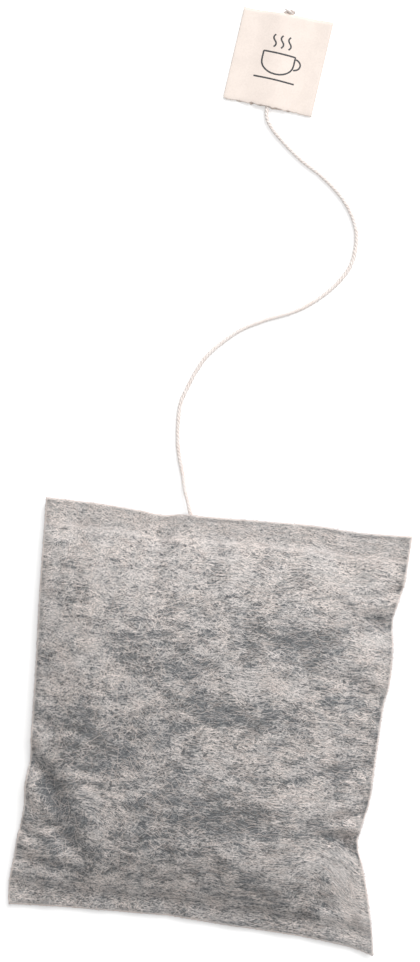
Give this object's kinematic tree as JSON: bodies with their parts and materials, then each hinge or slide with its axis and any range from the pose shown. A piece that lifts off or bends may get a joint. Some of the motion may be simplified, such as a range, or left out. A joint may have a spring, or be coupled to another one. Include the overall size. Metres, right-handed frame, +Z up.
{
  "type": "coffee steeping bag",
  "caption": "Filled pillow bag of filter cloth, sealed at both ends, with a string from its top seal and a folded card tag on the string's end.",
  "frame": {"origin": "centre of the bag's footprint, on the surface that the bag lies on", "axes": "+X along the top seal, +Y from the bag's foot to the top seal and the string, +Z up from the back to the front of the lying bag"},
  "size_m": [0.0832, 0.2066, 0.0104],
  "materials": {
    "filter_cloth": "matt non-woven cloth, ground coffee showing through",
    "cotton_string": "matt twisted cotton",
    "tag_card": "smooth uncoated card"
  },
  "bodies": {
    "root": {"filter_bag": "filter_cloth", "string": "cotton_string", "tag": "tag_card"}
  },
  "joints": []
}
